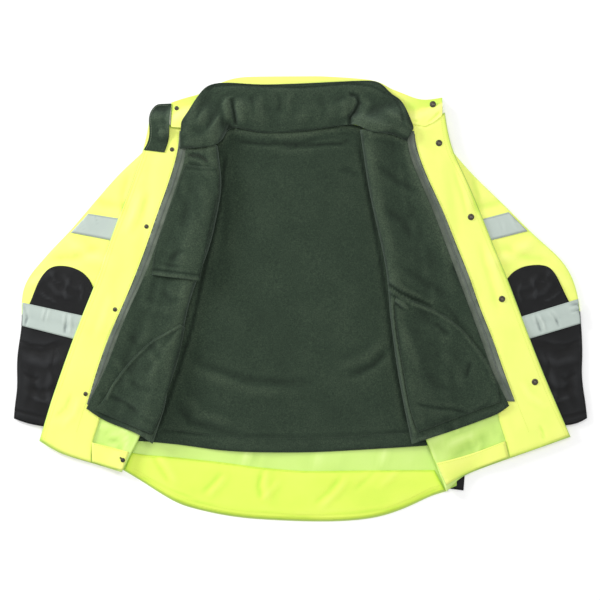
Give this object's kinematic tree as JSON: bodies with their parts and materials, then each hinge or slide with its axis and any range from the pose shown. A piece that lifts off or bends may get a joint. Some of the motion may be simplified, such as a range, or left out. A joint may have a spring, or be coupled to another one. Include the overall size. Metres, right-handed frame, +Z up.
{
  "type": "hi-vis work jacket, laid open",
  "caption": "Hi-vis yellow work jacket laid open on its back, fronts folded out to show the dark fleece liner, sleeves at its sides.",
  "frame": {"origin": "middle of the footprint, on the surface that the jacket lies on", "axes": "+X towards the viewer's right across the sleeves, +Y from hem to collar, +Z up off the surface"},
  "size_m": [1.15, 0.8928, 0.0432],
  "materials": {
    "hi_vis_yellow": "matt woven polyester",
    "coated_lining": "pale satin coating",
    "fleece": "matt brushed fleece",
    "black_oxford": "matt coarse weave",
    "reflective_tape": "silver glass-bead tape",
    "zip_tape": "matt woven tape",
    "snap_metal": "dark bronze plating",
    "toggle_plastic": "satin black"
  },
  "bodies": {
    "root": {"back_hem_facing": "hi_vis_yellow", "band_lower_left": "reflective_tape", "band_lower_right": "reflective_tape", "band_upper_left": "reflective_tape", "band_upper_right": "reflective_tape", "collar_tab": "fleece", "elbow_patch_left": "black_oxford", "elbow_patch_right": "black_oxford", "fleece_back": "fleece", "fleece_collar": "fleece", "fleece_front_left": "fleece", "fleece_front_right": "fleece", "forearm_left": "black_oxford", "forearm_right": "black_oxford", "front_facing_left": "hi_vis_yellow", "front_facing_right": "hi_vis_yellow", "hem_facing_left": "hi_vis_yellow", "hem_facing_right": "hi_vis_yellow", "hem_toggle": "toggle_plastic", "inner_pocket": "fleece", "pocket_bag_left": "fleece", "pocket_bag_right": "fleece", "shell_back": "hi_vis_yellow", "shell_collar": "hi_vis_yellow", "shell_front_left": "coated_lining", "shell_front_right": "coated_lining", "side_tab": "black_oxford", "sleeve_left": "hi_vis_yellow", "sleeve_right": "hi_vis_yellow", "snap_socket_1": "snap_metal", "snap_socket_2": "snap_metal", "snap_socket_3": "snap_metal", "snap_socket_4": "snap_metal", "snap_socket_5": "snap_metal", "snap_stud_1": "snap_metal", "snap_stud_2": "snap_metal", "snap_stud_3": "snap_metal", "snap_stud_4": "snap_metal", "snap_stud_5": "snap_metal", "zip_tape_left": "zip_tape", "zip_tape_right": "zip_tape"}
  },
  "joints": []
}
